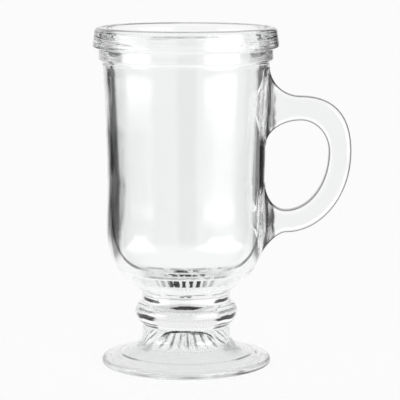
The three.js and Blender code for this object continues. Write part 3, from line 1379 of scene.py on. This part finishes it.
    def _right(self, spot: Spot, waver: Socket) -> Socket:
        """Draws the painted shade of the faint band down the right, and of the short dark streak in it.

        Args:
            spot: The spot on the glass.
            waver: How far the band strays there.

        Returns:
            The share of light let through.
        """
        graph = spot.graph
        slant = graph.maths("ADD", spot.slant, waver)
        faint = graph.darken(self.fibres.read(spot), graph.ramp(slant, self.right_tones))
        calmer = graph.maths("MULTIPLY_ADD", waver, self.streak_waver, spot.slant)
        there = graph.between(self._level(spot), self.streak_levels)
        return graph.blend(there, faint, graph.ramp(calmer, self.streak_tones))

    def _contour(self, spot: Spot, waver: Socket) -> Socket:
        """Paints the shade of the dark outline that the hollow's rounded floor shows through the wall.

        Args:
            spot: The spot on the glass.
            waver: Small unevenness.

        Returns:
            The share of light let through.
        """
        graph, slant = spot.graph, spot.slant
        bend = graph.maths("POWER", slant, self.contour_bend)
        at = graph.maths("MULTIPLY_ADD", bend, self.contour_rise, self.contour_low)
        spread = graph.maths("POWER", slant, self.contour_spread_bend)
        spread = graph.maths("MULTIPLY_ADD", spread, self.contour_spread, 1.0)
        off = graph.maths("DIVIDE", graph.off(spot.height, at), spread)
        line = graph.fit(off, self.contour_half, self.contour_core * self.contour_half, smooth=True)
        there = graph.product(line, graph.between(slant, self.contour_slants),
                              graph.fit(waver, *self.contour_breaks))
        return graph.darken(there, self.contour_tone)

    def _bars(self, spot: Spot) -> Socket:
        """Draws the dark upright bars of painted shade low on the front of the bowl.

        Args:
            spot: The spot on the glass.

        Returns:
            The share of light let through.
        """
        graph = spot.graph
        wave = graph.maths("SINE", graph.product(spot.turn, self.bar_count))
        bar = graph.fit(graph.maths("ADD", wave, self.bar_jitter.read(spot)), *self.bar_edge)
        half, centre = (self.bar_top - self.bar_foot) / 2, (self.bar_top + self.bar_foot) / 2
        dark, pale, end = self.bar_slant
        there = graph.product(graph.fit(graph.off(spot.height, centre), half, self.bar_full * half),
                              graph.fit(spot.slant, end, self.bar_full * end))
        tone = graph.blend(graph.fit(spot.slant, pale, dark), *self.bar_tones)
        return graph.darken(graph.product(bar, there), tone)

    def _painted_floor_rings(self, spot: Spot) -> Socket:
        """Draws beaded dark rings of painted shade on the floor, standing in for the fluted dome seen through
        it.

        Args:
            spot: The spot on the glass.

        Returns:
            The share of light let through.
        """
        graph = spot.graph
        bead = graph.fit(graph.maths("SINE", graph.product(spot.turn, self.bead_count)), -1.0, 1.0)
        beads = graph.product(self.ring_breaks.read(spot), bead)
        rings = (graph.fit(graph.off(spot.radius, ring), self.ring_half, self.ring_core * self.ring_half)
                 for ring in self.painted_ring_radii)
        return graph.product(*(graph.darken(graph.product(ring, beads), self.painted_ring_tone) for ring in rings))


@dataclass(frozen=True)
class HandleGlass(ClearGlass):
    """The handle: clear flat faces, with painted shade along the edges and in streaks where it runs into the
    bowl.

    The tones of the edge are given by tilt, and those of the root by the noise of the streaks.
    """

    # Painted shade along the edges, by tilt, and in the streaks at the roots.
    edge_shade_tones: Tones = ((0.0, 1.0), (0.15, 1.0), (0.32, 0.9), (0.42, 0.35), (0.5, 0.2), (1.0, 0.12))
    root_shade_tones: Tones = ((0.0, 0.05), (0.4, 0.1), (0.48, 0.35), (0.6, 0.45), (0.66, 0.9), (1.0, 0.9))
    root_reach: Point = (37.4 * MM, 36.2 * MM)
    root_side: Point = (0.6, 0.85)
    root_streaks: Grain = Grain(640.0, along=0.1)
    wobble: Sway = Sway(150.0, low=-1.5 * MM, high=1.5 * MM)

    def shade(self, spot: Spot) -> Socket:
        """Gives the painted shade: little light let through along the edges and in the streaks.

        Args:
            spot: The spot on the glass.

        Returns:
            The share.
        """
        graph = spot.graph
        away = graph.maths("ADD", spot.radius, self.wobble.read(spot))
        near = graph.product(graph.fit(away, *self.root_reach, smooth=True),
                             graph.fit(spot.slant, *self.root_side))
        streak = graph.ramp(self.root_streaks.noise(graph, spot.place), self.root_shade_tones)
        edge = graph.ramp(spot.tilt, self.edge_shade_tones)
        return spot.outermost(graph.product(edge, graph.darken(near, streak)))


@dataclass(frozen=True)
class FootGlass(ClearGlass):
    """The foot: painted shade, a little grey over the brim and dark lines where the fluted dome shows through
    its neck.
    """

    wave_strength: float = 0.05
    streak_strength: float = 0.02
    # Painted grey over the brim, and broken bands of painted shade.
    brim_top: Point = (11.0 * MM, 8.0 * MM)
    brim_shade_tone: float = 0.82
    grey_bands: tuple[PaintedShadeBand, ...] = (
        PaintedShadeBand(10.4 * MM, 0.7 * MM, 0.025, 0.25),
        PaintedShadeBand(8.8 * MM, 1.6 * MM, 1.0, 0.72, 0.3))
    cloud: Breaks = Breaks(160.0, low=0.3, high=0.55)

    # Painted dark lines along the brim's step and its lower edge.
    step_radius: float = 27.6 * MM
    step_half: float = 0.7 * MM
    step_slants: Levels = (0.25, 0.4, 0.65, 0.85)
    step_least: float = 0.16
    lip_height: float = 1.2 * MM
    lip_half: float = 0.5 * MM
    lip_breaks: Breaks = Breaks(45.0, 1.0, low=0.42, high=0.55)
    line_core: float = 0.4
    line_shade_tone: float = 0.3

    # The painted dark arch and its broken teeth.
    arch_top: float = 16.6 * MM
    arch_drop: float = 67.0 * MM
    arch_half: float = 0.42 * MM
    arch_core: float = 0.5
    arch_slant: Point = (0.27, 0.189)
    arch_shade_tone: float = 0.04
    arch_waver: Sway = Sway(330.0, low=-0.3 * MM, high=0.3 * MM)
    arch_blotch: Sway = Sway(120.0, low=-0.6 * MM, high=0.6 * MM)
    teeth: Breaks = Breaks(420.0, 1.0, low=0.5, high=0.6)
    teeth_levels: Levels = (0.0, 0.3 * MM, 0.8 * MM, 2.2 * MM)
    teeth_slant: Point = (0.27, 0.135)
    teeth_share: float = 0.75

    # The painted grey lines between the petals.
    fan_top: float = 17.0 * MM
    fan_lean: float = 60.0
    fan_lean_gain: float = 120.0
    fan_turn: Point = (1.4, 1.0)
    fan_start: Point = (0.0, 1.2 * MM)
    fan_side: Point = (0.24, 0.3)
    fan_side_start: Point = (0.4 * MM, 1.2 * MM)
    fan_end: Point = (8.6 * MM, 11.0 * MM)
    fan_edge: Point = (0.95, 0.6)
    fan_sway: Sway = Sway(120.0, 1.0, low=-0.7, high=0.7)
    fan_breaks: Breaks = Breaks(260.0, 1.0, low=0.25, high=0.5)
    petal_count: float = 48.0
    petal_shade_tones: Tones = ((0.0, 1.0), (0.45, 1.0), (0.6, 0.92), (0.8, 0.8), (0.9, 0.45), (1.0, 0.35))

    def shade(self, spot: Spot) -> Socket:
        """Gives the painted shade: little light let through in the brim's lines and over the dome.

        Args:
            spot: The spot on the glass.

        Returns:
            The share.
        """
        graph = spot.graph
        brim = graph.darken(graph.fit(spot.height, *self.brim_top, smooth=True), self.brim_shade_tone)
        cloud = self.cloud.read(spot)
        bands = (each.draw(spot, cloud) for each in self.grey_bands)
        return spot.outermost(graph.product(self._arch(spot), brim, self._brim_lines(spot), *bands))

    def _brim_lines(self, spot: Spot) -> Socket:
        """Draws the broken dark lines of painted shade along the brim's step and its lower edge.

        Args:
            spot: The spot on the glass.

        Returns:
            The share of light let through.
        """
        graph = spot.graph
        step, lip = (
            graph.fit(graph.off(value, at), half, self.line_core * half, smooth=True)
            for value, at, half in ((spot.radius, self.step_radius, self.step_half),
                                    (spot.height, self.lip_height, self.lip_half)))
        beside = graph.between(spot.slant, self.step_slants, smooth=False)
        step = graph.product(step, graph.maths("MAXIMUM", beside, self.step_least))
        mark = graph.maths("MAXIMUM", step, graph.product(lip, self.lip_breaks.read(spot)))
        return graph.darken(mark, self.line_shade_tone)

    def _arch(self, spot: Spot) -> Socket:
        """Draws in painted shade the dark arch where the dome's crown shows through the neck, and the petals
        under it.

        Args:
            spot: The spot on the glass.

        Returns:
            The share of light let through.
        """
        graph, slant = spot.graph, spot.slant
        fall = graph.product(slant, slant, -self.arch_drop)
        at = graph.maths("ADD", graph.maths("ADD", fall, self.arch_top), self.arch_waver.read(spot))
        below = graph.maths("SUBTRACT", at, spot.height)
        off = graph.maths("ADD", graph.maths("ABSOLUTE", below), self.arch_blotch.read(spot))
        arch = graph.product(graph.fit(off, self.arch_half, self.arch_core * self.arch_half, smooth=True),
                             graph.fit(slant, *self.arch_slant, smooth=True))
        teeth = graph.product(self.teeth.read(spot), graph.between(below, self.teeth_levels, smooth=False),
                              graph.fit(slant, *self.teeth_slant), self.teeth_share)
        arch = graph.darken(graph.maths("MAXIMUM", arch, teeth), self.arch_shade_tone)
        return graph.product(arch, self._petals(spot, below))

    def _petals(self, spot: Spot, below: Socket) -> Socket:
        """Draws the grey lines of painted shade between the petals, which spread downwards like a fan.

        Args:
            spot: The spot on the glass.
            below: How far the spot lies under the arch.

        Returns:
            The share of light let through.
        """
        graph, slant = spot.graph, spot.slant
        aside = graph.maths("ARCTAN2", spot.parts["X"], graph.product(spot.parts["Y"], -1.0))
        drop = graph.maths("SUBTRACT", self.fan_top, spot.height)
        lean = graph.product(graph.maths("MULTIPLY_ADD", slant, self.fan_lean_gain, self.fan_lean),
                             graph.fit(graph.maths("ABSOLUTE", aside), *self.fan_turn))
        spread = graph.maths("DIVIDE", aside, graph.maths("MULTIPLY_ADD", drop, lean, 1.0))
        wave = graph.maths("MULTIPLY_ADD", spread, self.petal_count, self.fan_sway.read(spot))
        tone = graph.ramp(graph.fit(graph.maths("SINE", wave), -1.0, 1.0), self.petal_shade_tones)
        under = graph.fit(below, *self.fan_start, smooth=True)
        beside = graph.product(graph.fit(slant, *self.fan_side), graph.fit(drop, *self.fan_side_start))
        there = graph.product(graph.maths("MAXIMUM", under, beside),
                              graph.fit(spot.height, *self.fan_end, smooth=True),
                              graph.fit(slant, *self.fan_edge, smooth=True), self.fan_breaks.read(spot))
        return graph.darken(there, tone)


@dataclass(frozen=True)
class FusedSeam:
    """The place where two parts are one glass, so that light goes straight on."""

    name: str = "fused_seam"

    def make(self) -> bpy.types.Material:
        """Makes the material.

        Returns:
            The material.
        """
        material = bpy.data.materials.new(self.name)
        material.use_nodes = True
        graph = Graph(material.node_tree)
        shader = graph.node("BsdfTransparent", {"Color": grey(1.0)})
        graph.node("OutputMaterial", {"Surface": shader.outputs[0]})
        return material


@dataclass(frozen=True)
class Lamp:
    """A soft-edged lamp that shows only as a bright patch on the glass.

    Its turn is its direction from the glass, in degrees from the camera towards +X. A
    strength of 1 is white.
    """

    name: str
    turn: float
    width: float
    strength: float
    fade: ClassVar[float] = 0.2

    def pose(self) -> tuple[float, float, float, float]:
        """Gives its distance from the axis, its middle's height, its length and its tilt."""
        raise NotImplementedError

    def build(self, axis_x: float) -> bpy.types.Object:
        """Makes the lamp.

        Args:
            axis_x: Where the glass's axis stands along X.

        Returns:
            The lamp.
        """
        away, height, length, tilt = self.pose()
        data = bpy.data.lights.new(self.name, "AREA")
        data.shape = "RECTANGLE"
        data.size, data.size_y = self.width, length
        data.energy = self.strength * math.pi * self.width * length
        data.use_nodes = True
        graph = Graph(data.node_tree)
        across = graph.parts(graph.node("NewGeometry").outputs["Parametric"])
        share = graph.product(*(graph.fit(graph.off(across[axis], 0.5), 0.5, 0.5 - self.fade, smooth=True)
                                for axis in ("X", "Y")))
        shine = graph.node("Emission", {"Strength": share})
        graph.node("OutputLight", {"Surface": shine.outputs[0]})
        made = add_object(self.name, data)
        angle = math.radians(self.turn)
        made.location = (axis_x + away * math.sin(angle), -away * math.cos(angle), height)
        made.rotation_euler = (math.radians(tilt), 0.0, angle)
        made.visible_camera = made.visible_diffuse = made.visible_transmission = False
        return made


@dataclass(frozen=True)
class SoftBox(Lamp):
    """An upright soft box."""

    distance: float
    low: float
    high: float

    def pose(self) -> tuple[float, float, float, float]:
        """Stands it upright, facing the glass."""
        return self.distance, (self.low + self.high) / 2, self.high - self.low, 90.0


@dataclass(frozen=True)
class Card(Lamp):
    """A bright card that lies on the table."""

    near: float
    far: float

    def pose(self) -> tuple[float, float, float, float]:
        """Lays it just over the table, shining up."""
        return (self.near + self.far) / 2, 1.0 * MM, self.far - self.near, 180.0


@dataclass(frozen=True)
class Studio:
    """A pale table in a white room with soft lamps, and the camera.

    The dark tones painted on the room and the table stand in for dark cards. They are given by
    direction from the glass, in degrees from straight behind it. Only a ray that the glass has
    turned back sees them, as a painted reflection: all others see plain white.
    """

    axis_x: float
    camera_aside: float = 5.7 * MM
    camera_distance: float = 820.0 * MM
    camera_height: float = 184.5 * MM
    camera_pitch: float = 8.07
    lens: float = 180.65
    sensor: float = 36.0

    table_half: float = 6.0
    table_drop: float = 0.02 * MM
    floor_tone: float = 1.0
    room_tone: float = 0.965
    overhead_tone: float = 0.8
    overhead_rise: Point = (0.45, 0.75)
    sheet_tone: float = 0.97
    sheet_edge: Point = (150.0 * MM, 350.0 * MM)
    far_reach: Point = (800.0 * MM, 1000.0 * MM)
    turns_below: float = 1.5
    past_any_depth: float = 1000.0

    left_tones: Tones = (
        (-180.0, 0.08), (-135.0, 0.08), (-127.0, 0.7), (-90.0, 0.7), (-76.0, 0.5), (-62.0, 0.2),
        (-29.0, 0.14), (-26.0, 0.7), (-18.0, 0.8), (-14.0, 1.0))
    far_left_tones: Tones = (
        (-180.0, 0.08), (-135.0, 0.08), (-127.0, 0.7), (-90.0, 0.9), (-76.0, 0.8), (-57.0, 0.55),
        (-51.0, 0.16), (-43.0, 0.05), (-40.0, 0.75), (-14.0, 1.0))
    right_tones: Tones = (
        (18.0, 1.0), (22.0, 0.1), (46.0, 0.1), (50.0, 0.45), (90.0, 0.45), (104.0, 0.6),
        (108.0, 1.0), (162.0, 1.0), (168.0, 0.08), (180.0, 0.08))

    lamps: tuple[Lamp, ...] = (
        SoftBox("right_soft_box", 48.0, 500 * MM, 5.0, distance=450 * MM, low=0 * MM, high=300 * MM),
        SoftBox("left_soft_box", -66.0, 430 * MM, 4.0, distance=450 * MM, low=20 * MM, high=220 * MM),
        Card("right_card", 50.0, 280 * MM, 3.2, near=100 * MM, far=430 * MM),
        Card("left_card", -66.0, 170 * MM, 3.2, near=100 * MM, far=430 * MM))

    most_bounces: int = 32
    diffuse_bounces: int = 16

    def _around(self, graph: Graph, place: Socket, left: Tones) -> Socket:
        """Gives the tone of the room in each direction round the glass.

        Args:
            graph: The node tree.
            place: The direction, or a place on the table.
            left: Directions and tones of the left half.

        Returns:
            The tone.
        """
        parts = graph.parts(place)
        turn = graph.maths("ARCTAN2", parts["X"], parts["Y"])
        share = graph.fit(turn, -math.pi, math.pi)
        stops = tuple((0.5 + angle / 360.0, tone) for angle, tone in left + self.right_tones)
        return graph.ramp(share, stops)

    def _finish(self, graph: Graph, tone: Socket, plain: object, shader: str, output: str) -> None:
        """Shows the plain tone to all rays but those that the glass alone has turned back.

        Args:
            graph: The node tree.
            tone: The tone that turned rays see.
            plain: The plain tone.
            shader: Type of the shader node.
            output: Type of the output node.
        """
        path = graph.node("LightPath").outputs
        turns = path["Glossy Depth"]
        scattered = graph.product(path["Diffuse Depth"], self.past_any_depth)
        turned = graph.product(graph.maths("GREATER_THAN", turns, scattered),
                               graph.maths("LESS_THAN", turns, self.turns_below))
        made = graph.node(shader, {"Color": graph.colour(turned, plain, tone)})
        graph.node(output, {"Surface": made.outputs[0]})

    def room(self) -> None:
        """Makes the white room round the table, a little darker overhead."""
        world = bpy.data.worlds.new("studio")
        world.use_nodes = True
        bpy.context.scene.world = world
        graph = Graph(world.node_tree)
        direction = graph.node("TexCoord").outputs["Generated"]
        overhead = graph.fit(graph.parts(direction)["Z"], *self.overhead_rise, smooth=True)
        tone = graph.colour(overhead, self._around(graph, direction, self.far_left_tones),
                            grey(self.overhead_tone))
        path = graph.node("LightPath").outputs
        through = graph.maths("GREATER_THAN", path["Is Transmission Ray"], path["Diffuse Depth"])
        plain = graph.blend(through, self.room_tone, graph.darken(overhead, self.overhead_tone))
        self._finish(graph, tone, plain, "Background", "OutputWorld")

    def table(self) -> bpy.types.Object:
        """Makes the pale table top, plain white near the glass, with dark tones painted by direction farther
        out that only the glass's reflections see.

        Returns:
            The table top.
        """
        half = self.table_half
        corners = [(-half, -half, 0.0), (half, -half, 0.0), (half, half, 0.0), (-half, half, 0.0)]
        made = add_mesh("table_top", corners, [(0, 1, 2, 3)], [Skin.POLISHED])
        made.location = (self.axis_x, 0.0, -self.table_drop)
        material = bpy.data.materials.new("pale_table")
        material.use_nodes = True
        graph = Graph(material.node_tree)
        place = graph.node("TexCoord").outputs["Object"]
        away = graph.vector("LENGTH", place)["Value"]
        # Painted reflection: dark tones by direction, seen only by rays that the glass has turned back.
        around = graph.colour(graph.fit(away, *self.far_reach, smooth=True), *(
            self._around(graph, place, tones) for tones in (self.left_tones, self.far_left_tones)))
        beyond = graph.fit(away, *self.sheet_edge, smooth=True)
        tone = graph.colour(beyond, grey(self.sheet_tone), around)
        self._finish(graph, tone, grey(self.floor_tone), "BsdfDiffuse", "OutputMaterial")
        made.data.materials.append(material)
        return made

    def camera(self) -> bpy.types.Object:
        """Makes the camera at the photograph's angle.

        Returns:
            The camera.
        """
        data = bpy.data.cameras.new("camera")
        data.lens = self.lens
        data.sensor_width = self.sensor
        made = add_object("camera", data)
        made.location = (self.axis_x + self.camera_aside, -self.camera_distance, self.camera_height)
        made.rotation_euler = (math.radians(90.0 - self.camera_pitch), 0.0, 0.0)
        bpy.context.scene.camera = made
        return made

    def render_settings(self) -> None:
        """Keeps colours plain, and lets light go right through the thick glass."""
        scene = bpy.context.scene
        scene.view_settings.view_transform = "Standard"
        scene.cycles.blur_glossy = 0.0
        scene.cycles.max_bounces = self.most_bounces
        scene.cycles.glossy_bounces = self.most_bounces
        scene.cycles.transmission_bounces = self.most_bounces
        scene.cycles.transparent_max_bounces = self.most_bounces
        scene.cycles.diffuse_bounces = self.diffuse_bounces


def dress(made: bpy.types.Object, glass: bpy.types.Material, seam: bpy.types.Material) -> None:
    """Gives a part its two skins.

    Args:
        made: The part.
        glass: The polished skin.
        seam: The fused skin.
    """
    slots = made.data.materials
    while len(slots) < 2:
        slots.append(seam)
    slots[Skin.POLISHED.value] = glass
    slots[Skin.FUSED.value] = seam


def main() -> None:
    """Builds the glass, dresses it and sets it in the studio."""
    logging.basicConfig(level=logging.INFO, format="%(message)s")
    line = GlassLine()
    low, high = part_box(Part.FOOT.value)
    axis_x = (low.x + high.x) / 2
    pieces = {
        Part.FOOT: (Foot(line, axis_x).build(), FootGlass),
        Part.STEM: (Stem(line, axis_x).build(), StemGlass),
        Part.BOWL: (Bowl(line, axis_x).build(), BowlGlass),
        Part.HANDLE: (Handle(line, axis_x).build(), HandleGlass),
    }
    fuse(pieces[Part.BOWL][0], pieces[Part.HANDLE][0])
    seam = FusedSeam().make()
    for part, (made, finish) in pieces.items():
        dress(made, finish(part.piece, axis_x, line).make(), seam)
        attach(made, BODY)
        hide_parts(part.value)
        LOG.info("%s: %d faces", made.name, len(made.data.polygons))
    studio = Studio(axis_x)
    studio.room()
    studio.table()
    for lamp in studio.lamps:
        lamp.build(axis_x)
    studio.camera()
    studio.render_settings()


if __name__ == "__main__":
    main()
